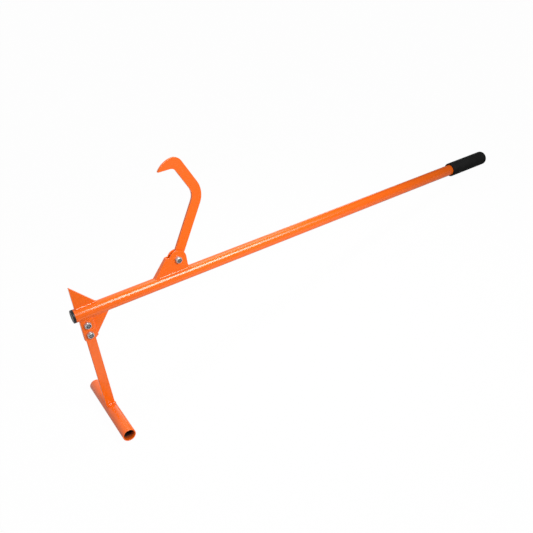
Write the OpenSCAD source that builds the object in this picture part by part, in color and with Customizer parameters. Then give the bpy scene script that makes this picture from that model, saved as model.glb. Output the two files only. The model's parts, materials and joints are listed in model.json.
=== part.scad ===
// Steel log lifter of the cant hook family: a tube handle with a swinging hook, a fixed toe
// plate and a bolted leg on a cross-tube foot. It lies on the ground on the foot and the grip.
// Pieces are drawn along the handle: +X from the toe end to the grip, +Z to the hook's side,
// with the zero point on the handle's axis at the tube's toe end. rest_pose() then tips the
// whole tool until the foot tube and the grip's end both touch z = 0.

/* [Handle tube] */
// Outside diameter of the handle tube
tube_od = 28; // [24:0.5:34]
// Wall of the handle tube
tube_wall = 2; // [1.5:0.1:3]
// Length of the handle tube
tube_len = 1188; // [900:1:1500]

/* [Grip] */
// Overall length of the rubber grip
grip_len = 132; // [100:1:180]
// Wall of the grip around the tube
grip_wall = 4; // [2.5:0.1:6]
// Thickness of the grip's closed end
grip_end = 8; // [5:0.5:12]
// Radius on the edge of the closed end
grip_round = 8; // [3:0.5:9]
// Bevel at the grip's mouth
grip_bevel = 1; // [0.5:0.1:2]
// Room between the grip's bore and the tube
grip_fit = 0.1; // [0.05:0.05:0.3]

/* [End plug] */
// Thickness of the plug's head outside the tube
plug_head = 5; // [3:0.5:8]
// Radius on the edge of the plug's head
plug_round = 1.5; // [0.5:0.1:2.5]
// Depth of the plug inside the tube
plug_depth = 20; // [12:1:30]
// Wall of the plug's hollow stem
plug_wall = 2; // [1.5:0.1:3]
// Number of ribs that grip the tube
plug_ribs = 3; // [2:1:4]
// Height of each rib over the stem
plug_rib_h = 1.2; // [0.8:0.1:2]
// Room between the ribs and the tube's bore
plug_fit = 0.1; // [0.05:0.05:0.3]

/* [Toe plate] */
// Distance from the tube's end to the plate's front edge
toe_inset = 4; // [0:0.5:10]
// Length of the plate along the tube
toe_base = 46; // [30:1:70]
// Height of the plate's point over the tube
toe_height = 49; // [30:1:70]
// Thickness of the plate
toe_thick = 6; // [4:0.5:8]
// Width of the blunted point
toe_tip = 1.5; // [0.5:0.1:4]

/* [Hook bracket] */
// Distance from the tube's end to the foot of the web
bracket_x = 178; // [150:1:190]
// Length of the web's slope along the tube
web_run = 32; // [24:1:34]
// Height of the web's top over the tube
web_rise = 36.5; // [30:0.5:40]
// Thickness of the folded plate
ear_thick = 3; // [2:0.5:5]
// Radius of the ears around the pivot
ear_r = 20; // [17:0.5:24]
// Distance from the tube's end to the pivot
pivot_x = 236; // [230:1:260]
// Height of the pivot over the tube
pivot_rise = 27; // [25:0.5:34]

/* [Hook] */
// Thickness of the hook's plate
hook_thick = 6; // [5:0.5:10]
// Width of the hook's shank and arm
hook_w = 22; // [18:0.5:26]
// Length of the straight shank above the pivot
shank_len = 128; // [100:1:160]
// Lean of the shank towards the grip
shank_lean = 30; // [20:1:36]
// Inside radius of the knee
knee_r = 29; // [15:1:45]
// Length of the straight arm above the knee
arm_len = 51; // [35:1:80]
// Lean of the arm towards the toe
arm_lean = 27; // [18:1:34]
// Distance from the arm's middle to the point of the claw
claw_reach = 48; // [40:1:56]
// Height of the claw's back over its flat underside
crown_rise = 22; // [18:0.5:26]
// Radius of the claw's back
crown_r = 50; // [44:1:70]
// Radius that joins the claw's back and the arm
crown_blend = 20; // [10:1:24]
// Radius in the corner under the claw
throat_r = 13; // [5:0.5:15]
// Height of the blunted point of the claw
claw_tip = 1.5; // [0.5:0.1:3]
// Room on each side of the hook between the ears
hook_side_fit = 0.3; // [0.2:0.05:0.8]

/* [Leg and foot] */
// Distance from the tube's end to the middle of the leg
leg_x = 19; // [17:0.5:40]
// Width of the leg bar
leg_w = 20; // [16:0.5:24]
// Thickness of the leg bar
leg_thick = 6; // [4:0.5:9]
// Gap between the leg's top and the tube
leg_gap = 3; // [1:0.5:5]
// Distance from the handle's axis to the foot's axis
foot_drop = 253; // [180:1:320]
// Length of the foot tube
foot_len = 208; // [120:1:300]
// Outside diameter of the foot tube
foot_od = 28; // [24:0.5:34]
// Wall of the foot tube
foot_wall = 2; // [1.5:0.1:3]

/* [Leg socket] */
// Wall of the socket that holds the leg
socket_wall = 2.5; // [2:0.1:4]
// Length of the socket below the tube
socket_drop = 48; // [44:0.5:70]
// Outside corner radius of the socket
socket_round = 2; // [0.5:0.1:2.5]
// Room on each side of the leg in the socket
leg_fit = 0.2; // [0.1:0.05:0.5]
// Length of the gusset along the tube
gusset_run = 38; // [20:1:60]
// Length of the gusset along the socket
gusset_drop = 45; // [30:1:47]
// Thickness of the gusset plate
gusset_thick = 4; // [3:0.5:6]
// Width of the gusset's blunted lower end
gusset_tip = 2; // [1:0.5:5]

/* [Fasteners] */
// Diameter of all three bolts
bolt_d = 8; // [6:0.5:9]
// Width of hexagons across their flats
hex_af = 13; // [11:0.5:15]
// Height of the bolt heads
head_h = 5.3; // [4:0.1:7]
// Height of the hexagon of a locking nut
nut_h = 6.5; // [5:0.1:8]
// Height of a locking nut's round collar
collar_h = 1.8; // [1.2:0.1:3]
// Wall of a locking nut's collar
collar_wall = 0.9; // [0.6:0.1:1.2]
// Length of bolt that shows past its nut
bolt_end = 0.5; // [0.5:0.5:5]
// Distance from the tube's underside to the upper leg bolt
upper_bolt_drop = 12.5; // [11:0.5:14]
// Distance between the two leg bolts
bolt_pitch = 23.5; // [18:0.5:26]
// Room around a bolt in the fixed plates
hole_fit = 0.2; // [0.1:0.05:0.5]
// Running room between the pivot bolt and the hook
pivot_fit = 0.08; // [0.03:0.01:0.1]
// Room between a bolt and its nut and insert
thread_fit = 0.1; // [0.05:0.05:0.2]

/* [Welds] */
// Radius of the weld beads
bead_r = 3; // [2:0.5:4]

/* [Hidden] */
$fn = 64;

// Radii and places that follow from the sizes above
tube_r = tube_od / 2;
tube_bore_r = tube_r - tube_wall;
foot_r = foot_od / 2;
grip_r = tube_r + grip_fit + grip_wall;
tool_end = tube_len + grip_end;
grip_mouth = tool_end - grip_len;
pivot_z = tube_r + pivot_rise;
shoulder_z = tube_r + web_rise;
bracket_half = hook_thick / 2 + hook_side_fit + ear_thick;
ear_end = pivot_x + ear_r;
socket_w = leg_w + 2 * (leg_fit + socket_wall);
socket_half = leg_thick / 2 + leg_fit + socket_wall;
socket_low = -tube_r - socket_drop;
gusset_x = leg_x + socket_w / 2;
gusset_low = -tube_r - gusset_drop;
upper_bolt_z = -tube_r - upper_bolt_drop;
lower_bolt_z = upper_bolt_z - bolt_pitch;
bolt_r = bolt_d / 2;
hex_d = hex_af / cos(30);
// Bevel that takes the corners off a hexagon
hex_bevel = (hex_d - hex_af) / 2;
insert_r = hex_af / 2 - hex_bevel - collar_wall;
// Overlap that lets one cut reach past a face
cut = 1;

// Rest pose: foot circle and grip-end circle on one floor line
grip_low_x = tool_end - grip_round;
grip_low_z = -(grip_r - grip_round);
reach_x = grip_low_x - leg_x;
reach_z = grip_low_z + foot_drop;
tilt = atan2(reach_z, reach_x) + asin((foot_r - grip_round) / norm([reach_x, reach_z]));
floor_z = -leg_x * sin(tilt) - foot_drop * cos(tilt) - foot_r;
toe_end_x = min(leg_x * cos(tilt) - foot_drop * sin(tilt) - foot_r,
                -plug_head * cos(tilt) - tube_r * sin(tilt));
grip_end_x = grip_low_x * cos(tilt) - grip_low_z * sin(tilt) + grip_round;
middle_x = (toe_end_x + grip_end_x) / 2;

// Hook outline: shank, knee and arm directions seen with +Y up
shank_side = [cos(shank_lean), -sin(shank_lean)];
arm_dir = [-sin(arm_lean), cos(arm_lean)];
arm_side = [cos(arm_lean), sin(arm_lean)];
knee_mid = knee_r + hook_w / 2;
knee_at = shank_len * [sin(shank_lean), cos(shank_lean)] - knee_mid * shank_side;
claw_at = knee_at + knee_mid * arm_side + arm_len * arm_dir;
crown_at = claw_at + [sqrt(crown_r ^ 2 - (crown_rise - crown_r) ^ 2) - claw_reach, crown_rise - crown_r];
blend_off = arm_side * (claw_at - crown_at) + hook_w / 2 - crown_blend;
blend_up = sqrt((crown_r - crown_blend) ^ 2 - blend_off ^ 2);
blend_at = crown_at + blend_off * arm_side + blend_up * arm_dir;
blend_turn = arm_lean + atan2(blend_up, blend_off);
tip_turn = 180 - asin((crown_r - crown_rise + claw_tip) / crown_r);
throat_at = claw_at + [(throat_r * sin(arm_lean) - hook_w / 2 - throat_r) / cos(arm_lean), -throat_r];
ear_turn = 180 - asin((shoulder_z - pivot_z) / ear_r);

paint = [0.96, 0.38, 0.08];
zinc = [0.72, 0.73, 0.74];
black = [0.09, 0.09, 0.09];

// Points on an arc, both ends included
function arc(at, r, from, to, steps = 16) =
    [for (i = [0 : steps]) let (a = from + (to - from) * i / steps) at + r * [cos(a), sin(a)]];

module rest_pose() {
    translate([-middle_x, 0, -floor_z]) rotate([0, tilt, 0]) children();
}

// A plate cut from an outline in X and Z, centred on the tool's middle plane
module plate(thick) {
    rotate([90, 0, 0]) linear_extrude(thick, center = true) children();
}

// Stands a shape made along +Z along the handle instead
module along_handle(x = 0) {
    translate([x, 0, 0]) rotate([0, 90, 0]) children();
}

// A cylinder across the tool
module across(r, length, x = 0, z = 0) {
    translate([x, 0, z]) rotate([90, 0, 0]) cylinder(r = r, h = length, center = true);
}

module tube(r, wall, length) {
    difference() {
        cylinder(r = r, h = length);
        translate([0, 0, -cut]) cylinder(r = r - wall, h = length + 2 * cut);
    }
}

module handle_rod() {
    along_handle(-cut) cylinder(r = tube_r, h = tube_len + 2 * cut);
}

// Weld bead with bevelled ends, lying along +X from x to x + length
module bead(x, length) {
    bevel = bead_r / 2;
    along_handle(x) rotate_extrude() polygon([
        [0, 0], [bead_r - bevel, 0], [bead_r, bevel],
        [bead_r, length - bevel], [bead_r - bevel, length], [0, length]
    ]);
}

// A pair of beads where a plate of this half thickness meets the tube, above or below it
module bead_pair(x, length, half, side) {
    for (s = [-1, 1])
        translate([0, s * half, side * sqrt(tube_r ^ 2 - half ^ 2)]) bead(x, length);
}

module handle_tube() {
    color(paint) rest_pose() along_handle() tube(tube_r, tube_wall, tube_len);
}

module grip() {
    bore_r = tube_r + grip_fit;
    color(black) rest_pose() along_handle(grip_mouth) rotate_extrude() difference() {
        union() {
            polygon([
                [0, 0], [grip_r - grip_bevel, 0], [grip_r, grip_bevel],
                [grip_r, grip_len - grip_round], [grip_r - grip_round, grip_len - grip_round],
                [grip_r - grip_round, grip_len], [0, grip_len]
            ]);
            intersection() {
                translate([grip_r - grip_round, grip_len - grip_round]) circle(grip_round);
                square([grip_r, grip_len]);
            }
        }
        translate([0, -cut]) square([bore_r, grip_len - grip_end + cut]);
    }
}

module end_plug() {
    rib_r = tube_bore_r - plug_fit;
    stem_r = rib_r - plug_rib_h;
    rib_step = plug_depth / plug_ribs;
    color(black) rest_pose() along_handle() rotate_extrude() difference() {
        union() {
            translate([0, plug_round - plug_head]) square([tube_r, plug_head - plug_round]);
            translate([0, -plug_head]) square([tube_r - plug_round, plug_head]);
            intersection() {
                translate([tube_r - plug_round, plug_round - plug_head]) circle(plug_round);
                translate([0, -plug_head]) square([tube_r, plug_head]);
            }
            square([stem_r, plug_depth]);
            for (i = [1 : plug_ribs])
                polygon([
                    [0, (i - 1) * rib_step], [rib_r, (i - 0.6) * rib_step],
                    [rib_r, (i - 0.4) * rib_step], [0, i * rib_step]
                ]);
        }
        square([stem_r - plug_wall, plug_depth + cut]);
    }
}

module toe_body() {
    slope = toe_height / (toe_base - toe_tip);
    difference() {
        plate(toe_thick) polygon([
            [toe_inset, 0], [toe_inset + toe_base + tube_r / slope, 0],
            [toe_inset + toe_tip, tube_r + toe_height], [toe_inset, tube_r + toe_height]
        ]);
        handle_rod();
    }
}

module toe_plate() {
    color(paint) rest_pose() toe_body();
}

module toe_welds() {
    color(paint) rest_pose() difference() {
        bead_pair(toe_inset, toe_base - bead_r, toe_thick / 2, 1);
        handle_rod();
        plate(toe_thick) translate([toe_inset - tube_r, 0]) square([toe_base + 2 * tube_r, 2 * tube_r]);
    }
}

module socket_outline() {
    w = socket_w / 2;
    h = socket_half;
    r = socket_round;
    square([2 * w, 2 * (h - r)], center = true);
    square([2 * (w - r), 2 * h], center = true);
    for (x = [r - w, w - r], y = [r - h, h - r])
        translate([x, y]) circle(r);
}

module leg_socket() {
    color(paint) rest_pose() difference() {
        translate([leg_x, 0, socket_low]) linear_extrude(-socket_low) difference() {
            socket_outline();
            square([leg_w + 2 * leg_fit, leg_thick + 2 * leg_fit], center = true);
        }
        handle_rod();
        for (z = [upper_bolt_z, lower_bolt_z])
            across(bolt_r + hole_fit, 2 * socket_half + 2 * cut, leg_x, z);
    }
}

module socket_welds() {
    length = socket_w - 2 * socket_round;
    color(paint) rest_pose() difference() {
        bead_pair(leg_x - length / 2, length, socket_half, -1);
        handle_rod();
        translate([leg_x, 0, -tube_od]) linear_extrude(tube_od) square([2 * socket_w, 2 * socket_half], center = true);
    }
}

module leg_gusset() {
    slope = gusset_drop / (gusset_run - gusset_tip);
    color(paint) rest_pose() difference() {
        plate(gusset_thick) polygon([
            [gusset_x, 0], [gusset_x, gusset_low], [gusset_x + gusset_tip, gusset_low],
            [gusset_x + gusset_run + tube_r / slope, 0]
        ]);
        handle_rod();
    }
}

module gusset_welds() {
    color(paint) rest_pose() difference() {
        union() {
            bead_pair(gusset_x, gusset_run - bead_r, gusset_thick / 2, -1);
            for (s = [-1, 1])
                translate([gusset_x, s * gusset_thick / 2, gusset_low])
                    rotate([0, -90, 0]) bead(0, gusset_drop);
        }
        handle_rod();
        plate(gusset_thick) translate([0, gusset_low - cut])
            square([gusset_x + gusset_run + tube_od, gusset_drop + tube_od]);
        plate(2 * socket_half + 2 * bead_r) translate([0, gusset_low - cut])
            square([gusset_x, gusset_drop + tube_od]);
    }
}

module leg_bar() {
    color(paint) rest_pose() difference() {
        plate(leg_thick) translate([leg_x - leg_w / 2, -foot_drop])
            square([leg_w, foot_drop - tube_r - leg_gap]);
        across(foot_r, 2 * leg_thick, leg_x, -foot_drop);
        for (z = [upper_bolt_z, lower_bolt_z])
            across(bolt_r + hole_fit, 2 * leg_thick, leg_x, z);
    }
}

module foot_tube() {
    color(paint) rest_pose() translate([leg_x, foot_len / 2, -foot_drop]) rotate([90, 0, 0])
        tube(foot_r, foot_wall, foot_len);
}

// The beads run round the foot tube, in front of and behind the leg
module foot_welds() {
    color(paint) rest_pose() difference() {
        for (s = [-1, 1])
            intersection() {
                translate([leg_x, s * leg_thick / 2, -foot_drop]) rotate([90, 0, 0])
                    rotate_extrude() translate([foot_r, 0]) circle(bead_r);
                plate(leg_thick + 4 * bead_r) translate([leg_x - leg_w / 2, -foot_drop])
                    square([leg_w, foot_od]);
            }
        across(foot_r, 2 * foot_od, leg_x, -foot_drop);
        plate(leg_thick) translate([0, -foot_drop]) square([leg_x + 2 * leg_w, 2 * foot_od]);
    }
}

// Hexagon along +Z with its corners bevelled at the far end
module hex_body(height) {
    intersection() {
        cylinder(d = hex_d, h = height, $fn = 6);
        rotate_extrude() polygon([
            [0, 0], [hex_d / 2, 0], [hex_d / 2, height - hex_bevel],
            [hex_af / 2, height], [0, height]
        ]);
    }
}

// Puts a fastener on a cross axis: +Z of the fastener points to the camera side
module at_bolt(x, z) {
    translate([x, 0, z]) rotate([90, 0, 0]) children();
}

// Bolt with its head behind a stack of this half thickness and its nut in front
module bolt(half) {
    tip = half + nut_h + collar_h + bolt_end;
    bevel = bolt_r / 4;
    color(zinc) union() {
        translate([0, 0, -half]) mirror([0, 0, 1]) hex_body(head_h);
        rotate_extrude() polygon([
            [0, -half - head_h / 2], [bolt_r, -half - head_h / 2],
            [bolt_r, tip - bevel], [bolt_r - bevel, tip], [0, tip]
        ]);
    }
}

module nut(half) {
    color(zinc) translate([0, 0, half]) difference() {
        union() {
            hex_body(nut_h);
            cylinder(r = insert_r + collar_wall, h = nut_h + collar_h);
        }
        translate([0, 0, -cut]) cylinder(r = bolt_r + thread_fit, h = nut_h + 2 * cut);
        translate([0, 0, nut_h]) cylinder(r = insert_r, h = collar_h + cut);
    }
}

// Nylon ring in the nut's collar
module nut_insert(half) {
    color(black) translate([0, 0, half + nut_h]) difference() {
        cylinder(r = insert_r, h = collar_h);
        translate([0, 0, -cut]) cylinder(r = bolt_r + thread_fit, h = collar_h + 2 * cut);
    }
}

module upper_leg_bolt() { rest_pose() at_bolt(leg_x, upper_bolt_z) bolt(socket_half); }
module upper_leg_nut() { rest_pose() at_bolt(leg_x, upper_bolt_z) nut(socket_half); }
module upper_nut_insert() { rest_pose() at_bolt(leg_x, upper_bolt_z) nut_insert(socket_half); }
module lower_leg_bolt() { rest_pose() at_bolt(leg_x, lower_bolt_z) bolt(socket_half); }
module lower_leg_nut() { rest_pose() at_bolt(leg_x, lower_bolt_z) nut(socket_half); }
module lower_nut_insert() { rest_pose() at_bolt(leg_x, lower_bolt_z) nut_insert(socket_half); }

module ear_outline() {
    polygon(concat(
        [[bracket_x - tube_r * web_run / web_rise, 0], [ear_end, 0]],
        arc([pivot_x, pivot_z], ear_r, 0, ear_turn, 32),
        [[bracket_x + web_run, shoulder_z]]
    ));
}

// Inside of the fold: the space for the hook, open at the top and the grip's side
module fold_outline() {
    shift = ear_thick / sin(atan2(web_rise, web_run));
    foot = bracket_x - tube_r * web_run / web_rise + shift;
    rise = 2 * (pivot_z + ear_r);
    polygon([
        [foot, 0], [ear_end + cut, 0], [ear_end + cut, rise], [foot + rise * web_run / web_rise, rise]
    ]);
}

module hook_bracket() {
    color(paint) rest_pose() difference() {
        plate(2 * bracket_half) ear_outline();
        plate(hook_thick + 2 * hook_side_fit) fold_outline();
        handle_rod();
        across(bolt_r + hole_fit, 2 * bracket_half + 2 * cut, pivot_x, pivot_z);
    }
}

module bracket_welds() {
    color(paint) rest_pose() difference() {
        bead_pair(bracket_x + bead_r, ear_end - bracket_x, bracket_half, 1);
        handle_rod();
        plate(2 * bracket_half) translate([bracket_x - tube_od, 0])
            square([ear_end - bracket_x + tube_od, tube_od]);
    }
}

module hook_outline() {
    polygon(concat(
        arc(knee_at, knee_mid + hook_w / 2, -shank_lean, arm_lean, 24),
        arc(blend_at, crown_blend, arm_lean, blend_turn),
        arc(crown_at, crown_r, blend_turn, tip_turn, 24),
        [[crown_at[0] + crown_r * cos(tip_turn), claw_at[1]]],
        arc(throat_at, throat_r, 90, arm_lean, 8),
        arc(knee_at, knee_r, arm_lean, -shank_lean),
        arc([0, 0], hook_w / 2, 180 - shank_lean, 360 - shank_lean, 24)
    ));
}

module hook() {
    color(paint) rest_pose() difference() {
        plate(hook_thick) translate([pivot_x, pivot_z]) hook_outline();
        across(bolt_r + pivot_fit, 2 * hook_thick, pivot_x, pivot_z);
    }
}

module pivot_bolt() { rest_pose() at_bolt(pivot_x, pivot_z) bolt(bracket_half); }
module pivot_nut() { rest_pose() at_bolt(pivot_x, pivot_z) nut(bracket_half); }
module pivot_nut_insert() { rest_pose() at_bolt(pivot_x, pivot_z) nut_insert(bracket_half); }

handle_tube();
grip();
end_plug();
toe_plate();
toe_welds();
leg_socket();
socket_welds();
leg_gusset();
gusset_welds();
leg_bar();
foot_tube();
foot_welds();
upper_leg_bolt();
upper_leg_nut();
upper_nut_insert();
lower_leg_bolt();
lower_leg_nut();
lower_nut_insert();
hook_bracket();
bracket_welds();
hook();
pivot_bolt();
pivot_nut();
pivot_nut_insert();
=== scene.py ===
import json
import math
import random

import bmesh
import bpy
from mathutils import Matrix, Vector


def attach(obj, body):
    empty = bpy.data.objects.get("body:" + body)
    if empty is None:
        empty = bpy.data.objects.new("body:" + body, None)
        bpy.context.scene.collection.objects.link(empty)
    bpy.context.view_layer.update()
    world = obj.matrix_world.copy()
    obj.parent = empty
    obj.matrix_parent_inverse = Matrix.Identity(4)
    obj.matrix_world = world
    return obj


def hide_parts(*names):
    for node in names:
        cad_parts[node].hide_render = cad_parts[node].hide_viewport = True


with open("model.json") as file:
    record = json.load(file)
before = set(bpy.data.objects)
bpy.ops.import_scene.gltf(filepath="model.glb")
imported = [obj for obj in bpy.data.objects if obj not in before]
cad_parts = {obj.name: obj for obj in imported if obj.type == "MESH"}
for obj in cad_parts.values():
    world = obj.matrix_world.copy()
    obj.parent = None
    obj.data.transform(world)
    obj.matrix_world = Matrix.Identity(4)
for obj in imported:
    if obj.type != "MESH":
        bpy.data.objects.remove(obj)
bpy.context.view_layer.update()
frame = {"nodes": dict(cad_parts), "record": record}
random.seed(11)
print("frame loaded with", len(frame["nodes"]), "nodes")

# the tool is worked on lying straight: x from the toe end to the grip, z towards the hook
gripMount = next(mount for mount in frame["record"]["mounts"] if mount["name"] == "grip_outside")
handleWay = Vector(gripMount["axis"]).normalized()
acrossWay = Vector((0, 1, 0))
hookWay = handleWay.cross(acrossWay)
gripMiddle = Vector(gripMount["pos_m"])
tubePoints = [v.co for v in frame["nodes"]["handle_tube"].data.vertices]
toeEnd = gripMiddle + handleWay * min((p - gripMiddle).dot(handleWay) for p in tubePoints)
restPose = Matrix.Translation(toeEnd) @ Matrix((handleWay, acrossWay, hookWay)).transposed().to_4x4()
toolPose = restPose.inverted()

bothSides = (-1, 1)
facing = 0.9       # how squarely a face looks along an axis to be picked
hair = 1e-5        # closer than this is the same place
flatWeight = 60    # how far large flat faces keep their shading


def toolBox(node):
    points = [toolPose @ v.co for v in frame["nodes"][node].data.vertices]
    low = Vector([min(p[i] for p in points) for i in range(3)])
    high = Vector([max(p[i] for p in points) for i in range(3)])
    return low, high


tubeRadius = toolBox("handle_tube")[1].z


# small helpers for working as in the viewport

def take(piece):
    if bpy.context.object and bpy.context.object.mode != "OBJECT":
        done()
    bpy.ops.object.select_all(action="DESELECT")
    piece.select_set(True)
    bpy.context.view_layer.objects.active = piece


def pick(piece, kind, test):
    # leaves the piece in edit mode with what passes the test selected
    bpy.ops.object.mode_set(mode="EDIT")
    bpy.ops.mesh.select_mode(type=kind)
    bpy.ops.mesh.select_all(action="DESELECT")
    mesh = bmesh.from_edit_mesh(piece.data)
    parts = {"EDGE": mesh.edges, "FACE": mesh.faces}[kind]
    found = 0
    for part in parts:
        if test(part):
            part.select_set(True)
            found += 1
    mesh.select_flush_mode()
    bmesh.update_edit_mesh(piece.data)
    return found


def done():
    bpy.ops.object.mode_set(mode="OBJECT")


def extrude(move):
    bpy.ops.mesh.extrude_region_move(TRANSFORM_OT_translate={"value": move})


def middle(part):
    return sum((v.co for v in part.verts), Vector()) / len(part.verts)


def settle(piece):
    # its place, turn and scale go into the mesh
    take(piece)
    bpy.ops.object.transform_apply(location=True, rotation=True, scale=True)


def modify(piece, kind, **settings):
    take(piece)
    modifier = piece.modifiers.new(kind.title(), kind)
    for name, value in settings.items():
        setattr(modifier, name, value)
    bpy.ops.object.modifier_apply(modifier=modifier.name)


def combine(piece, other, how):
    modify(piece, "BOOLEAN", object=other, operation=how, solver="EXACT")
    bpy.data.objects.remove(other)


def softenEdges(piece, width, steps, angle, clamp=True):
    modify(piece, "BEVEL", width=width, segments=steps, limit_method="ANGLE",
           angle_limit=math.radians(angle), use_clamp_overlap=clamp)


def addCylinder(radius, length, at=(0, 0, 0), way="Z", sides=96, ends="NGON"):
    if bpy.context.object:
        take(bpy.context.object)
    bpy.ops.object.select_all(action="DESELECT")
    turn = {"X": (0, math.pi / 2, 0), "Y": (math.pi / 2, 0, 0), "Z": (0, 0, 0)}[way]
    bpy.ops.mesh.primitive_cylinder_add(vertices=sides, radius=radius, depth=length, location=at,
                                        rotation=turn, end_fill_type=ends)
    cylinder = bpy.context.object
    settle(cylinder)
    return cylinder


def copyPiece(piece):
    other = bpy.data.objects.new(piece.name, piece.data.copy())
    bpy.context.scene.collection.objects.link(other)
    return other


def seat(piece, name, body, node, finish, place=Matrix(), angle=40):
    # puts a finished piece where its node is, with its place in the mesh
    piece.name = name
    piece.data.name = name
    piece.matrix_world = restPose @ place
    settle(piece)
    if angle:
        bpy.ops.object.shade_smooth_by_angle(angle=math.radians(angle))
    else:
        bpy.ops.object.shade_smooth()
        modify(piece, "WEIGHTED_NORMAL", weight=flatWeight, keep_sharp=False)
    piece.data.materials.clear()
    piece.data.materials.append(finish)
    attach(piece, body)
    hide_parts(node)
    print("seated", name, len(piece.data.polygons), "faces")


# shader maths as expressions

class Wire:
    def __init__(self, tree, socket=None):
        self.tree = tree
        self.socket = socket

    def put(self, target, value):
        if isinstance(value, Wire):
            self.tree.links.new(value.socket, target)
        else:
            target.default_value = value

    def node(self, kind, settings=None, sockets=None, out=0):
        made = self.tree.nodes.new(kind)
        for name, value in (settings or {}).items():
            setattr(made, name, value)
        for name, value in (sockets or {}).items():
            self.put(made.inputs[name], value)
        return Wire(self.tree, made.outputs[out])

    def maths(self, how, first, second):
        return self.node("ShaderNodeMath", {"operation": how}, {0: first, 1: second})

    def __add__(self, other):
        return self.maths("ADD", self, other)

    __radd__ = __add__

    def __sub__(self, other):
        return self.maths("SUBTRACT", self, other)

    def __rsub__(self, other):
        return self.maths("SUBTRACT", other, self)

    def __mul__(self, other):
        return self.maths("MULTIPLY", self, other)

    __rmul__ = __mul__


def startMaterial(name):
    material = bpy.data.materials.new(name)
    material.use_nodes = True
    tree = material.node_tree
    shader = tree.nodes["Principled BSDF"]
    wire = Wire(tree)
    place = wire.node("ShaderNodeTexCoord", out="Object")
    return material, shader, wire, place


def vectorMaths(wire, how, first, second=(0, 0, 0), out="Vector"):
    return wire.node("ShaderNodeVectorMath", {"operation": how}, {0: first, 1: second}, out)


def noise(wire, place, scale, detail, rough=0.5):
    return wire.node("ShaderNodeTexNoise", None,
                     {"Vector": place, "Scale": scale, "Detail": detail, "Roughness": rough})


def ramp(wire, value, low, high):
    return wire.node("ShaderNodeMapRange", {"clamp": True},
                     {"Value": value, "From Min": low, "From Max": high})


def mixColour(wire, share, first, second):
    return wire.node("ShaderNodeMix", {"data_type": "RGBA"}, {0: share, 6: first, 7: second}, out=2)


def bump(wire, height, strength, distance):
    return wire.node("ShaderNodeBump", None,
                     {"Height": height, "Strength": strength, "Distance": distance})


def dress(wire, shader, colour, dull, normal):
    wire.put(shader.inputs["Base Color"], colour)
    wire.put(shader.inputs["Roughness"], dull)
    wire.put(shader.inputs["Normal"], normal)


# in the finishes a noise is its scale, detail and roughness, edges are where it starts and where it is full,
# and a bump is its strength and distance

paintSettings = {
    "colour": (0.92, 0.142, 0.0045, 1),
    "deepColour": (0.87, 0.127, 0.0034, 1),
    "fleckColour": (1.0, 0.2, 0.02, 1),
    # bare steel inside the foot's bore, darkened to near black as painted shade
    "bareSteelAndShade": (0.012, 0.008, 0.007, 1),
    "patch": (9, 3),              # slow drift of the coat's colour
    "patchEdges": (0.35, 0.7),
    "patchShare": 0.5,
    "peel": (620, 1.5, 0.4),      # orange peel of the powder coat
    "fleck": (2600, 1),
    "fleckEdges": (0.62, 0.75),
    "fleckShare": 0.12,
    "fleckHeight": 0.15,
    "bump": (0.03, 0.0004),
    "roughness": 0.17,
    "dullEdges": (0.3, 0.7),      # how the fleck takes the gloss down
    "fleckDull": 0.04,
    "patchDull": 0.03,
    "boreDull": 0.4,
    "specular": 0.6,
}


def boreSteelAndShade(wire, place, bore):
    # the coat thins out into the open ends of a tube along y, to bare steel that is darkened further as
    # painted shade deep in the bore
    away = vectorMaths(wire, "SUBTRACT", place, bore["centre"])
    radius = vectorMaths(wire, "LENGTH", vectorMaths(wire, "MULTIPLY", away, (1, 0, 1)), out="Value")
    along = vectorMaths(wire, "DOT_PRODUCT", away, (0, 1, 0), "Value")
    depth = bore["half"] - wire.maths("ABSOLUTE", along, 0.0)
    outer, inner = [bore["radius"] + step for step in bore["edge"]]
    return ramp(wire, radius, outer, inner) * ramp(wire, depth, *bore["fade"])


def makeOrangePaint(name, bore=None):
    s = paintSettings
    material, shader, wire, place = startMaterial(name)
    patch = ramp(wire, noise(wire, place, *s["patch"]), *s["patchEdges"])
    peel = noise(wire, place, *s["peel"])
    fleck = noise(wire, place, *s["fleck"])
    tone = mixColour(wire, patch * s["patchShare"], s["colour"], s["deepColour"])
    tone = mixColour(wire, ramp(wire, fleck, *s["fleckEdges"]) * s["fleckShare"], tone, s["fleckColour"])
    dull = s["roughness"] + ramp(wire, fleck, *s["dullEdges"]) * s["fleckDull"] + patch * s["patchDull"]
    # the bore's inside: bare steel, with painted shade deeper in
    if bore:
        dark = boreSteelAndShade(wire, place, bore)
        tone = mixColour(wire, dark, tone, s["bareSteelAndShade"])
        dull = dull + dark * s["boreDull"]
    dress(wire, shader, tone, dull, bump(wire, peel + fleck * s["fleckHeight"], *s["bump"]))
    shader.inputs["Specular IOR Level"].default_value = s["specular"]
    return material


rubberSettings = {
    "colour": (0.0055, 0.0055, 0.0055, 1),
    "wornColour": (0.0105, 0.0105, 0.01, 1),
    "pebble": {"Scale": 700, "Smoothness": 0.6},
    "cloud": (40, 4, 0.6),
    "cloudEdges": (0.35, 0.7),
    "fine": (2500, 2),
    "fineHeight": 0.25,
    "bump": (0.45, 0.0005),
    "roughness": 0.62,
    "cloudDull": 0.14,
    "fineDull": 0.06,
    "specular": 0.12,
}


def makeGripRubber():
    s = rubberSettings
    material, shader, wire, place = startMaterial("gripRubber")
    pebble = wire.node("ShaderNodeTexVoronoi", {"feature": "SMOOTH_F1"}, {"Vector": place, **s["pebble"]})
    cloud = ramp(wire, noise(wire, place, *s["cloud"]), *s["cloudEdges"])
    fine = noise(wire, place, *s["fine"])
    tone = mixColour(wire, cloud, s["colour"], s["wornColour"])
    dull = s["roughness"] + cloud * s["cloudDull"] + fine * s["fineDull"]
    dress(wire, shader, tone, dull, bump(wire, pebble * -1.0 + fine * s["fineHeight"], *s["bump"]))
    shader.inputs["Specular IOR Level"].default_value = s["specular"]
    return material


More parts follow.
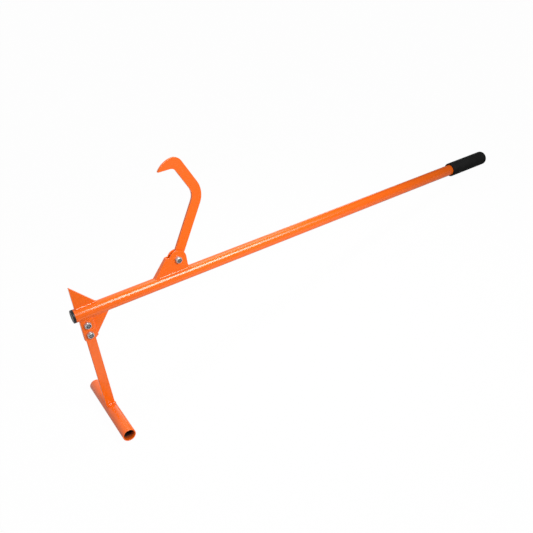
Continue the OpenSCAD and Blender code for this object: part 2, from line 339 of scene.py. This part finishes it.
plasticSettings = {
    "colour": (0.013, 0.013, 0.014, 1),
    "scuffedColour": (0.017, 0.017, 0.018, 1),
    "grain": (1400, 2),
    "scuff": (90, 3),
    "scuffEdges": (0.45, 0.75),
    "bump": (0.02, 0.0002),
    "roughness": 0.4,
    "scuffDull": 0.1,
    "grainDull": 0.04,
    "specular": 0.35,
}


def makePlugPlastic():
    s = plasticSettings
    material, shader, wire, place = startMaterial("plugPlastic")
    grain = noise(wire, place, *s["grain"])
    scuff = ramp(wire, noise(wire, place, *s["scuff"]), *s["scuffEdges"])
    tone = mixColour(wire, scuff, s["colour"], s["scuffedColour"])
    dull = s["roughness"] + scuff * s["scuffDull"] + grain * s["grainDull"]
    dress(wire, shader, tone, dull, bump(wire, grain, *s["bump"]))
    shader.inputs["Specular IOR Level"].default_value = s["specular"]
    return material


zincSettings = {
    "spangleEdges": (0.35, 0.68),
    "scratch": (3200, 2),
    "bump": (0.12, 0.0002),
    "roughness": 0.38,
    "spangleDull": 0.14,
    "scratchDull": 0.06,
}
nutZincSettings = {
    "colour": (0.66, 0.67, 0.68, 1),
    "dullColour": (0.5, 0.51, 0.52, 1),
    "spangle": (420, 4, 0.6),
    "metallic": 0.75,
}
boltZincSettings = {
    "colour": (0.42, 0.42, 0.43, 1),
    "dullColour": (0.24, 0.24, 0.245, 1),
    "spangle": (700, 4, 0.6),
    "metallic": 1,
}


def makeZincSteel(name, own):
    s = {**zincSettings, **own}
    material, shader, wire, place = startMaterial(name)
    spangle = ramp(wire, noise(wire, place, *s["spangle"]), *s["spangleEdges"])
    scratch = noise(wire, place, *s["scratch"])
    tone = mixColour(wire, spangle, s["colour"], s["dullColour"])
    dull = s["roughness"] + spangle * s["spangleDull"] + scratch * s["scratchDull"]
    dress(wire, shader, tone, dull, bump(wire, scratch, *s["bump"]))
    shader.inputs["Metallic"].default_value = s["metallic"]
    return material


nylonSettings = {
    "colour": (0.018, 0.019, 0.022, 1),
    "rubbedColour": (0.045, 0.046, 0.05, 1),
    "rub": (600, 3),
    "rubEdges": (0.4, 0.7),
    "bump": (0.1, 0.0002),
    "roughness": 0.42,
    "rubDull": 0.15,
}


def makeDarkNylon():
    s = nylonSettings
    material, shader, wire, place = startMaterial("darkNylon")
    rub = ramp(wire, noise(wire, place, *s["rub"]), *s["rubEdges"])
    tone = mixColour(wire, rub, s["colour"], s["rubbedColour"])
    dress(wire, shader, tone, s["roughness"] + rub * s["rubDull"], bump(wire, rub, *s["bump"]))
    return material


orangePaint = makeOrangePaint("orangePaint")
gripRubber = makeGripRubber()
plugPlastic = makePlugPlastic()
zincSteel = makeZincSteel("zincSteel", nutZincSettings)
boltSteel = makeZincSteel("boltSteel", boltZincSettings)
darkNylon = makeDarkNylon()
print("finishes made")


# camera and light

cameraSettings = {
    "place": (-0.60515, -1.09573, 0.92376),
    "right": (0.79188, -0.54542, -0.27468),
    "forward": (0.32660, 0.75831, -0.56418),
    "lens": 41.33,
    "sensor": 36,
}


def makeCamera():
    s = cameraSettings
    data = bpy.data.cameras.new("photoCamera")
    data.lens = s["lens"]
    data.sensor_width = s["sensor"]
    camera = bpy.data.objects.new("photoCamera", data)
    bpy.context.scene.collection.objects.link(camera)
    forward = Vector(s["forward"]).normalized()
    up = Vector(s["right"]).cross(forward).normalized()
    right = forward.cross(up)
    turn = Matrix((right, up, -forward)).transposed().to_4x4()
    camera.matrix_world = Matrix.Translation(s["place"]) @ turn
    bpy.context.scene.camera = camera


lightSettings = {
    "world": 0.3,
    "worldGloss": 0.85,
    "floorColour": (0.86, 0.86, 0.86, 1),
    "floorWhite": 0.98,   # how much of the floor's white doesn't take the shadow
    "floorGloss": 0.85,
    "floorSize": 60,
}
# two keys from the upper right and a fill from the left light the paint, and don't show in its gloss
lampSettings = {
    "frontKey": {"place": (0.3, -1.45, 1.1), "aim": (-0.26, 0, 0.17), "size": (0.45, 0.35),
                 "spread": 70, "watts": 3.8},
    "topKey": {"place": (0.5, 0.1, 1.6), "aim": (-0.33, 0, 0.15), "size": (0.6, 0.6),
               "spread": 68, "watts": 2.8},
    "leftFill": {"place": (-2, -0.6, 0.7), "aim": (-0.45, 0, 0.2), "size": (0.8, 0.8),
                 "spread": 90, "watts": 1.05},
}
# what the gloss mirrors: bright boxes overhead and behind, the studio's dark cloths round the table, and
# painted shade on the floor under the tool and in front of its grip end
# a fade is its axis, where it starts, where it ends and the glow there, and rays are sent at an aimed sheet
mirrorSettings = {
    "stripeBox": {"place": (0.68, -1.4, 1.42), "turn": (47, 0, 0), "size": (2.15, 0.85), "glow": 13.2,
                  "fade": ((1, 0, 0), 0.8, 1.35, 2.5), "aimed": True},
    "skyBox": {"place": (0.6, 0.5, 1.6), "turn": (0, 0, 0), "size": (1.2, 1.2), "glow": 2.6},
    "backBox": {"place": (1.75, 2.49, 0.28), "turn": (90, 0, 0), "size": (1.3, 0.54), "glow": 2.6},
    "overCloth": {"place": (0.2, -0.5, 1.65), "turn": (0, 0, 0), "size": (5, 1.1), "glow": 0.25},
    "frontMat": {"place": (0, -1.68, 0.001), "turn": (0, 0, 0), "size": (6, 2.7), "glow": 0.06,
                 "fade": ((0, 1, 0), -0.45, -1.15, 0.6)},
    # painted shade: the floor mirrored in front of the grip end darkens where the light falls off
    "gripEndShadeInGloss": {"place": (1.2, -0.225, 0.001), "turn": (0, 0, 0), "size": (2, 0.21), "glow": 0.85,
                "fade": ((1, 0, 0), 0.25, 0.6, 0.25)},
    # painted shadow: a darker sheet on the floor under the tool, which only the gloss sees
    "floorShadowInGloss": {"place": (0.5, 0.14, 0.001), "turn": (0, 0, 0), "size": (3, 0.52), "glow": 0.5,
                 "fade": ((1, 0, 0), 0.25, 0.6, 0.22)},
    "frontWall": {"place": (0, -3.03, 0.65), "turn": (90, 0, 0), "size": (6, 1.3), "glow": 0.04},
    "rightWall": {"place": (2.5, -0.5, 1.5), "turn": (0, 90, 0), "size": (3, 5), "glow": 0.04},
    "backWall": {"place": (3.7, 2.5, 0.75), "turn": (90, 0, 0), "size": (2.8, 1.5), "glow": 0.25},
    "leftWall": {"place": (-2.0, 2.4, 0.75), "turn": (90, 0, 41), "size": (2.4, 0.9), "glow": 0.75},
}
sheetBoost = 4   # more colour and less strength: the same glow, but more rays go to an aimed sheet


def rayShare(wire, name):
    return wire.node("ShaderNodeLightPath", out=name)


def makeLamps():
    for name, s in lampSettings.items():
        lamp = bpy.data.lights.new(name, "AREA")
        lamp.shape = "RECTANGLE"
        lamp.size, lamp.size_y = s["size"]
        lamp.spread = math.radians(s["spread"])
        lamp.energy = s["watts"]
        box = bpy.data.objects.new(name, lamp)
        bpy.context.scene.collection.objects.link(box)
        box.location = s["place"]
        box.rotation_euler = (Vector(s["aim"]) - box.location).to_track_quat("-Z", "Y").to_euler()
        box.visible_glossy = False


def makeWorld():
    s = lightSettings
    world = bpy.data.worlds.new("whiteRoom")
    bpy.context.scene.world = world
    world.use_nodes = True
    wire = Wire(world.node_tree)
    background = world.node_tree.nodes["Background"]
    background.inputs["Color"].default_value = (1, 1, 1, 1)
    clear = rayShare(wire, "Is Camera Ray") + rayShare(wire, "Is Transmission Ray")
    mirrored = rayShare(wire, "Is Glossy Ray")
    strength = s["world"] + clear * (1 - s["world"]) + mirrored * (s["worldGloss"] - s["world"])
    wire.put(background.inputs["Strength"], strength)


def startStage(name):
    material = bpy.data.materials.new(name)
    material.use_nodes = True
    material.cycles.emission_sampling = "NONE"   # seen and mirrored, but not used as a lamp
    tree = material.node_tree
    tree.nodes.remove(tree.nodes["Principled BSDF"])
    return material, Wire(tree), tree.nodes["Material Output"].inputs["Surface"]


def makeFloor():
    s = lightSettings
    bpy.ops.object.select_all(action="DESELECT")
    bpy.ops.mesh.primitive_plane_add(size=s["floorSize"], location=(0, 0, 0))
    floor = bpy.context.object
    floor.name = "floor"
    material, wire, surface = startStage("paleFloor")
    matt = wire.node("ShaderNodeBsdfDiffuse", None, {"Color": s["floorColour"]})
    mirrored = rayShare(wire, "Is Glossy Ray")
    clear = rayShare(wire, "Is Camera Ray") + rayShare(wire, "Is Transmission Ray") + mirrored
    white = wire.node("ShaderNodeEmission", None,
                      {"Color": (1, 1, 1, 1), "Strength": 1.0 - mirrored * (1 - s["floorGloss"])})
    wire.put(surface, wire.node("ShaderNodeMixShader", None, {0: clear * s["floorWhite"], 1: matt, 2: white}))
    floor.data.materials.append(material)


def makeMirrored():
    for name, s in mirrorSettings.items():
        bpy.ops.object.select_all(action="DESELECT")
        turn = [math.radians(angle) for angle in s["turn"]]
        bpy.ops.mesh.primitive_plane_add(size=1, location=s["place"], rotation=turn)
        sheet = bpy.context.object
        sheet.name = name
        sheet.scale = (*s["size"], 1)
        settle(sheet)
        material, wire, surface = startStage(name)
        if "aimed" in s:
            material.cycles.emission_sampling = "AUTO"
        glow = s["glow"]
        if "fade" in s:
            axis, near, far, farGlow = s["fade"]
            place = wire.node("ShaderNodeTexCoord", out="Object")
            along = vectorMaths(wire, "DOT_PRODUCT", place, axis, "Value")
            glow = glow + ramp(wire, along, near, far) * (farGlow - glow)
        colour = (sheetBoost, sheetBoost, sheetBoost, 1)
        strength = glow * (1 / sheetBoost)
        wire.put(surface, wire.node("ShaderNodeEmission", None, {"Color": colour, "Strength": strength}))
        sheet.data.materials.append(material)
        sheet.visible_camera = False
        sheet.visible_diffuse = False
        sheet.visible_transmission = False
        sheet.visible_shadow = False


bpy.context.scene.view_settings.view_transform = "Standard"
makeCamera()
makeLamps()
makeWorld()
makeFloor()
makeMirrored()
print("stage set")


# tubes, with the grip and the plug on the handle's ends

tubeSettings = {"wall": 0.002, "lip": 0.0005, "lipSteps": 3, "lipAngle": 60, "sides": 128}
boreSettings = {"edge": (0.0005, 0.0001), "fade": (0.002, 0.016)}   # past the bore, and in from the end


def makeTube(radius, length, at, way, s):
    tube = addCylinder(radius, length, at, way, s["sides"], "NOTHING")
    modify(tube, "SOLIDIFY", thickness=s["wall"], offset=-1)
    softenEdges(tube, s["lip"], s["lipSteps"], s["lipAngle"])
    return tube


def makeHandleTube():
    low, high = toolBox("handle_tube")
    tube = makeTube(tubeRadius, high.x - low.x, ((low.x + high.x) / 2, 0, 0), "X", tubeSettings)
    seat(tube, "handleTube", "frame", "handle_tube", orangePaint)


def makeFootTube():
    low, high = toolBox("foot_tube")
    centre = (low + high) / 2
    radius = (high.z - low.z) / 2
    tube = makeTube(radius, high.y - low.y, centre, "Y", tubeSettings)
    bore = {**boreSettings, "centre": restPose @ centre, "half": high.y,
            "radius": radius - tubeSettings["wall"]}
    seat(tube, "footTube", "frame", "foot_tube", makeOrangePaint("footPaint", bore))


gripSettings = {"wall": 0.004, "endWall": 0.008, "endRound": 0.008, "roundSteps": 10, "mouthRound": 0.0012,
                "mouthSteps": 4, "sides": 128, "smoothAngle": 35}


def makeGrip():
    s = gripSettings
    low, high = toolBox("grip")
    length = high.x - low.x
    grip = addCylinder(high.z, length, ((low.x + high.x) / 2, 0, 0), "X", s["sides"])
    pick(grip, "FACE", lambda f: f.normal.x < -facing)
    bpy.ops.mesh.inset(thickness=s["wall"])
    extrude((length - s["endWall"], 0, 0))
    pick(grip, "EDGE", lambda e: min(v.co.x for v in e.verts) > high.x - hair)
    bpy.ops.mesh.bevel(offset=s["endRound"], segments=s["roundSteps"], affect="EDGES")
    pick(grip, "EDGE", lambda e: max(v.co.x for v in e.verts) < low.x + hair
         and min(math.hypot(v.co.y, v.co.z) for v in e.verts) > high.z - s["wall"] / 2)
    bpy.ops.mesh.bevel(offset=s["mouthRound"], segments=s["mouthSteps"], affect="EDGES")
    done()
    seat(grip, "rubberGrip", "frame", "grip", gripRubber, angle=s["smoothAngle"])


plugSettings = {"stem": 0.0107, "ribRise": 0.0012, "ribs": 3, "hollow": 0.0087, "headRound": 0.0015,
                "headSteps": 5, "dish": 0.0035, "dishRim": 0.0006, "dishDepth": 0.0004}


def makeEndPlug():
    s = plugSettings
    low, high = toolBox("end_plug")
    plug = addCylinder(high.z, -low.x, (low.x / 2, 0, 0), "X")
    pick(plug, "FACE", lambda f: f.normal.x > facing)
    bpy.ops.mesh.inset(thickness=high.z - s["stem"])
    tall = (s["stem"] + s["ribRise"]) / s["stem"]
    ribShape = (1, tall, 1, 1 / tall, 1)
    step = high.x / s["ribs"] / len(ribShape)
    x = 0.0
    for grow in ribShape * s["ribs"]:
        x += step
        extrude((step, 0, 0))
        bpy.ops.transform.resize(value=(1, grow, grow), center_override=(x, 0, 0))
    bpy.ops.mesh.inset(thickness=s["stem"] - s["hollow"])
    extrude((-high.x, 0, 0))
    pick(plug, "EDGE", lambda e: max(v.co.x for v in e.verts) < low.x + hair)
    bpy.ops.mesh.bevel(offset=s["headRound"], segments=s["headSteps"], affect="EDGES")
    pick(plug, "FACE", lambda f: f.normal.x < -facing and middle(f).x < low.x + hair)
    bpy.ops.mesh.inset(thickness=s["dish"])
    bpy.ops.mesh.inset(thickness=s["dishRim"], depth=-s["dishDepth"])
    done()
    seat(plug, "endPlug", "frame", "end_plug", plugPlastic)


# plates: the cut steel keeps its outline and gets the soft edges of a thick powder coat

plateSettings = {
    "toe_plate": {"name": "toePlate", "body": "frame", "edge": 0.0006},
    "leg_gusset": {"name": "legGusset", "body": "frame", "edge": 0.0006},
    "leg_bar": {"name": "legBar", "body": "frame", "edge": 0.0009},
    "leg_socket": {"name": "legSocket", "body": "frame", "edge": 0.0005},
    "hook_bracket": {"name": "hookBracket", "body": "frame", "edge": 0.0005},
    "hook": {"name": "hookPlate", "body": "hook", "edge": 0.0007},
}
edgeSettings = {"steps": 3, "angle": 32}
copySettings = {"merge": 1e-6, "flatAngle": 0.5}
bracketSettings = {
    "earThick": 0.003,
    "foldRadius": 0.0028,     # outside of the two bends
    "foldSteps": 5,
    "foldRun": 0.005,         # a bend's edge is longer than this along x
    "foldSlope": (0.5, 2),
}


def copyNode(node):
    s = copySettings
    piece = bpy.data.objects.new(node, frame["nodes"][node].data.copy())
    bpy.context.scene.collection.objects.link(piece)
    piece.matrix_world = toolPose
    settle(piece)
    bpy.ops.object.mode_set(mode="EDIT")
    bpy.ops.mesh.select_all(action="SELECT")
    bpy.ops.mesh.remove_doubles(threshold=s["merge"])
    bpy.ops.mesh.dissolve_limited(angle_limit=math.radians(s["flatAngle"]))
    done()
    return piece


def roundBends(bracket):
    # the long outside corners where the web turns into the ears
    s = bracketSettings
    half = toolBox("hook_bracket")[1].y
    least, most = s["foldSlope"]

    def onBend(edge):
        run = edge.verts[1].co - edge.verts[0].co
        level = abs(run.y) < hair and abs(run.x) > s["foldRun"]
        return level and least < run.z / run.x < most and abs(abs(edge.verts[0].co.y) - half) < hair

    print("bends:", pick(bracket, "EDGE", onBend))
    bpy.ops.mesh.bevel(offset=s["foldRadius"], segments=s["foldSteps"], affect="EDGES")
    done()


def makePlates():
    for node, s in plateSettings.items():
        plate = copyNode(node)
        if node == "hook_bracket":
            roundBends(plate)
        softenEdges(plate, s["edge"], edgeSettings["steps"], edgeSettings["angle"], clamp=False)
        seat(plate, s["name"], s["body"], node, orangePaint, angle=None)


# weld beads: one ripple is copied along each seam, then they melt together

weldSettings = {
    "radius": 0.0036,
    "bury": 0.0012,           # how far a seam lies inside the plate's face
    "sink": 0.0008,           # how far a bead goes into the tube under it
    "step": 0.003,
    "stretch": 2.8,
    "uneven": (0.95, 1.05),
    "wander": 0.00015,
    "rippleSides": 20,
    "rippleRings": 12,
    "voxel": 0.00045,
    "melt": 14,
    "meltShare": 0.5,
    "smoothAngle": 60,
}
# where the seams start and end on their plates, and the blobs on them, in bead radii unless a note says else
seamSettings = {
    "toe": {"start": 1, "end": 4,
            "blobs": ((2.4, 1, 0.75), (1, 0.4, 1.1))},   # back from the end, share of the plate's half, size
    "socket": {"start": 1.5, "end": 1.5},
    "gusset": {"start": 0, "end": 2, "rise": 1, "blobOut": 0.3, "blobSize": 1},
    "bracket": {"start": 3, "end": 0, "blobOut": 0.25, "blobDown": 0.3, "blobSize": 1.3,
                "blobBury": 1.2},   # times the bury of a bead
    "foot": {"slim": 0.7, "blobShift": (-0.1, -0.1, 0.5), "blobSize": 1.4},
}


def makeRipple():
    s = weldSettings
    bpy.ops.object.select_all(action="DESELECT")
    bpy.ops.mesh.primitive_uv_sphere_add(segments=s["rippleSides"], ring_count=s["rippleRings"], radius=1)
    return bpy.context.object


def seam(start, end):
    start = Vector(start)
    end = Vector(end)
    count = max(2, round((end - start).length / weldSettings["step"]))
    return [start.lerp(end, i / count) for i in range(count + 1)]


def tubeSeams(node, s, side):
    # along the corners between the tube and both faces of a plate
    r = weldSettings["radius"]
    low, high = toolBox(node)
    start = low.x + s["start"] * r
    end = high.x - s["end"] * r
    depth = high.y - weldSettings["bury"]
    z = side * math.sqrt(tubeRadius ** 2 - high.y ** 2)
    return [seam((start, y * depth, z), (end, y * depth, z)) for y in bothSides]


def layWelds(name, node, seams, blobs, cutters, slim=1):
    s = weldSettings
    ripple = makeRipple()
    ripples = []
    for points in seams:
        for i, point in enumerate(points):
            ahead = points[min(i + 1, len(points) - 1)] - points[max(i - 1, 0)]
            turn = ahead.to_track_quat("X", "Z").to_matrix().to_4x4()
            size = slim * s["radius"] * random.uniform(*s["uneven"])
            shift = Vector([random.uniform(-1, 1) * s["wander"] for axis in range(3)])
            room = min((point - points[0]).length, (point - points[-1]).length)
            shape = Matrix.Diagonal((min(size * s["stretch"], size + room), size, size, 1))
            copy = copyPiece(ripple)
            copy.matrix_world = Matrix.Translation(point + shift) @ turn @ shape
            ripples.append(copy)
    for point, size in blobs:
        copy = copyPiece(ripple)
        copy.matrix_world = Matrix.Translation(point) @ Matrix.Scale(size, 4)
        ripples.append(copy)
    bpy.data.objects.remove(ripple)
    take(ripples[0])
    for copy in ripples:
        copy.select_set(True)
    bpy.ops.object.join()
    bead = bpy.context.object
    settle(bead)
    modify(bead, "REMESH", mode="VOXEL", voxel_size=s["voxel"])
    modify(bead, "SMOOTH", factor=s["meltShare"], iterations=s["melt"])
    for cutter in cutters:
        combine(bead, cutter, "DIFFERENCE")
    seat(bead, name, "frame", node, orangePaint, angle=s["smoothAngle"])


def handleCore():
    length = toolBox("handle_tube")[1].x
    return addCylinder(tubeRadius - weldSettings["sink"], length, (length / 2, 0, 0), "X")


def footCore():
    low, high = toolBox("foot_tube")
    radius = (high.z - low.z) / 2 - weldSettings["sink"]
    return addCylinder(radius, high.y - low.y, (low + high) / 2, "Y")


def earGap():
    # the open space between the bracket's ears, and past it in length and height
    low, high = toolBox("hook_bracket")
    bpy.ops.object.select_all(action="DESELECT")
    bpy.ops.mesh.primitive_cube_add(size=1, location=(low + high) / 2)
    gap = bpy.context.object
    gap.scale = (2 * (high.x - low.x), 2 * (high.y - bracketSettings["earThick"]), 2 * (high.z - low.z))
    settle(gap)
    return gap


def makeToeWelds():
    s = seamSettings["toe"]
    r = weldSettings["radius"]
    high = toolBox("toe_plate")[1]
    blobs = [(Vector((high.x - back * r, -share * high.y, tubeRadius)), size * r)
             for back, share, size in s["blobs"]]
    layWelds("toeWelds", "toe_welds", tubeSeams("toe_plate", s, 1), blobs, [handleCore()])


def makeSocketWelds():
    seams = tubeSeams("leg_socket", seamSettings["socket"], -1)
    layWelds("socketWelds", "socket_welds", seams, [], [handleCore()])


def makeGussetWelds():
    s = seamSettings["gusset"]
    r = weldSettings["radius"]
    low, high = toolBox("leg_gusset")
    seams = tubeSeams("leg_gusset", s, -1)
    for y in bothSides:
        seams.append(seam((low.x, y * high.y, low.z + s["rise"] * r), (low.x, y * high.y, -tubeRadius)))
    blobs = [(Vector((low.x + s["blobOut"] * r, 0, low.z)), s["blobSize"] * r)]
    layWelds("gussetWelds", "gusset_welds", seams, blobs, [handleCore()])


def makeBracketWelds():
    s = seamSettings["bracket"]
    r = weldSettings["radius"]
    high = toolBox("hook_bracket")[1]
    x = high.x + s["blobOut"] * r
    depth = high.y - s["blobBury"] * weldSettings["bury"]
    z = tubeRadius - s["blobDown"] * r
    blobs = [(Vector((x, y * depth, z)), s["blobSize"] * r) for y in bothSides]
    seams = tubeSeams("hook_bracket", s, 1)
    layWelds("bracketWelds", "bracket_welds", seams, blobs, [handleCore(), earGap()])


def makeFootWelds():
    # round the top of the foot, over the leg's width
    s = seamSettings["foot"]
    r = weldSettings["radius"]
    low, high = toolBox("foot_tube")
    legLow, legHigh = toolBox("leg_bar")
    centre = (low + high) / 2
    radius = (high.z - low.z) / 2
    reach = math.asin(((legHigh.x - legLow.x) / 2 - s["slim"] * r) / radius)
    count = round(2 * reach * radius / weldSettings["step"])
    turns = [reach * (2 * i / count - 1) for i in range(count + 1)]
    arc = [(centre.x + radius * math.sin(turn), centre.z + radius * math.cos(turn)) for turn in turns]
    depth = legHigh.y - weldSettings["bury"] / 2
    seams = [[Vector((x, y * depth, z)) for x, z in arc] for y in bothSides]
    shift = Vector([share * r for share in s["blobShift"]])
    blobs = [(seams[0][-1] + shift, s["blobSize"] * r)]
    layWelds("footWelds", "foot_welds", seams, blobs, [footCore()], s["slim"])


# fasteners, made once along +z and copied to the three bolt axes

hexSettings = {"headHeight": 0.0053, "oversize": 1.001, "chamfer": 0.9, "edge": 0.00018, "edgeSteps": 2,
               "edgeAngle": 28}
nutSettings = {"bore": 0.0041, "collarWall": 0.0009, "collarRound": 0.8, "collarSteps": 4, "smoothAngle": 30}
ringSettings = {"bore": 0.0035, "drop": 0.0002, "lip": 0.0002, "lipSteps": 2, "lipAngle": 60, "sides": 64}
boltSettings = {"radius": 0.004, "inHead": 0.001, "endDrop": 0.0013, "endChamfer": 0.0012, "endSteps": 2,
                "sides": 64, "smoothAngle": 30}
# flank, root and crest are shares of the pitch
threadSettings = {"pitch": 0.00125, "depth": 0.00062, "turns": 3, "flank": 0.4, "root": 0.15, "crest": 0.05}


def makeHex(acrossFlats, height):
    # a six-sided bar, turned down at its top corners
    s = hexSettings
    corner = acrossFlats / math.cos(math.pi / 6)
    blank = addCylinder(corner / 2, height, (0, 0, height / 2), sides=6)
    turned = addCylinder(corner / 2 * s["oversize"], height, (0, 0, height / 2))
    pick(turned, "EDGE", lambda e: min(v.co.z for v in e.verts) > height - hair)
    bpy.ops.mesh.bevel(offset=(corner - acrossFlats) / 2 * s["chamfer"], segments=1, affect="EDGES")
    done()
    combine(blank, turned, "INTERSECT")
    return blank


def softenHex(piece):
    s = hexSettings
    softenEdges(piece, s["edge"], s["edgeSteps"], s["edgeAngle"])


def makeNut(acrossFlats, ringRadius, ringSeat, height):
    s = nutSettings
    collarRadius = ringRadius + s["collarWall"]
    bevel = (collarRadius - ringRadius) * s["collarRound"]
    nut = makeHex(acrossFlats, ringSeat)
    collar = addCylinder(collarRadius, height - ringSeat / 2, (0, 0, (height + ringSeat / 2) / 2))
    pick(collar, "EDGE", lambda e: min(v.co.z for v in e.verts) > height - hair)
    bpy.ops.mesh.bevel(offset=bevel, segments=s["collarSteps"], affect="EDGES")
    done()
    combine(nut, collar, "UNION")
    combine(nut, addCylinder(ringRadius, height, (0, 0, ringSeat + height / 2)), "DIFFERENCE")
    combine(nut, addCylinder(s["bore"], 3 * height), "DIFFERENCE")
    softenHex(nut)
    return nut


def makeRing(radius, ringSeat, height):
    s = ringSettings
    top = height - s["drop"]
    wall = {"wall": radius - s["bore"]}
    return makeTube(radius, top - ringSeat, (0, 0, (top + ringSeat) / 2), "Z", {**s, **wall})


def makeBolt(node, acrossFlats):
    s = boltSettings
    t = threadSettings
    low, high = toolBox(node)
    underHead = hexSettings["headHeight"] - high.y
    start = underHead - s["inHead"]
    run = -low.y - s["endDrop"] - t["turns"] * t["pitch"] - start
    bolt = addCylinder(s["radius"], run, (0, 0, start + run / 2), sides=s["sides"])
    pick(bolt, "FACE", lambda f: f.normal.z > facing)
    core = (s["radius"] - t["depth"]) / s["radius"]
    oneTurn = ((t["flank"], core), (t["root"], 1), (t["flank"], 1 / core), (t["crest"], 1))
    z = start + run
    for share, grow in oneTurn * t["turns"]:
        rise = share * t["pitch"]
        z += rise
        extrude((0, 0, rise))
        bpy.ops.transform.resize(value=(grow, grow, 1), center_override=(0, 0, z))
    bpy.ops.mesh.bevel(offset=s["endChamfer"], segments=s["endSteps"], affect="EDGES")
    done()
    head = makeHex(acrossFlats, hexSettings["headHeight"])
    head.matrix_world = Matrix.Translation((0, 0, underHead)) @ Matrix.Rotation(math.pi, 4, "X")
    settle(head)
    softenHex(head)
    combine(head, bolt, "UNION")
    return head


def boltAxis(node):
    # +z of a fastener turns to -y, towards the camera
    low, high = toolBox(node)
    place = ((low.x + high.x) / 2, 0, (low.z + high.z) / 2)
    return Matrix.Translation(place) @ Matrix.Rotation(math.pi / 2, 4, "X")


def makeFasteners():
    # one nut, one ring and one bolt of each length are made, and copied to their axes
    low, high = toolBox("pivot_nut")
    ringLow, ringHigh = toolBox("pivot_nut_insert")
    acrossFlats = high.z - low.z
    height = high.y - low.y
    ringSeat = high.y - ringHigh.y
    ringRadius = (ringHigh.x - ringLow.x) / 2
    nut = makeNut(acrossFlats, ringRadius, ringSeat, height)
    ring = makeRing(ringRadius, ringSeat, height)
    legBolt = makeBolt("upper_leg_bolt", acrossFlats)
    pivotBolt = makeBolt("pivot_bolt", acrossFlats)
    nutAngle = nutSettings["smoothAngle"]
    boltAngle = boltSettings["smoothAngle"]
    for short, node, bolt in (("upper", "upper_leg", legBolt), ("lower", "lower_leg", legBolt),
                              ("pivot", "pivot", pivotBolt)):
        nutNode = node + "_nut"
        ringNode = short + "_nut_insert"
        boltNode = node + "_bolt"
        axis = boltAxis(boltNode)
        onPlate = axis @ Matrix.Translation((0, 0, -toolBox(nutNode)[1].y))
        seat(copyPiece(nut), short + "Nut", "frame", nutNode, zincSteel, onPlate, nutAngle)
        seat(copyPiece(ring), short + "Ring", "frame", ringNode, darkNylon, onPlate)
        seat(copyPiece(bolt), short + "Bolt", "frame", boltNode, boltSteel, axis, boltAngle)
    for made in (nut, ring, legBolt, pivotBolt):
        bpy.data.objects.remove(made)


makeHandleTube()
makeFootTube()
makeGrip()
makeEndPlug()
print("tubes, grip and plug done")
makePlates()
print("plates done")
makeToeWelds()
makeSocketWelds()
makeGussetWelds()
makeBracketWelds()
makeFootWelds()
print("welds done")
makeFasteners()
print("fasteners done")
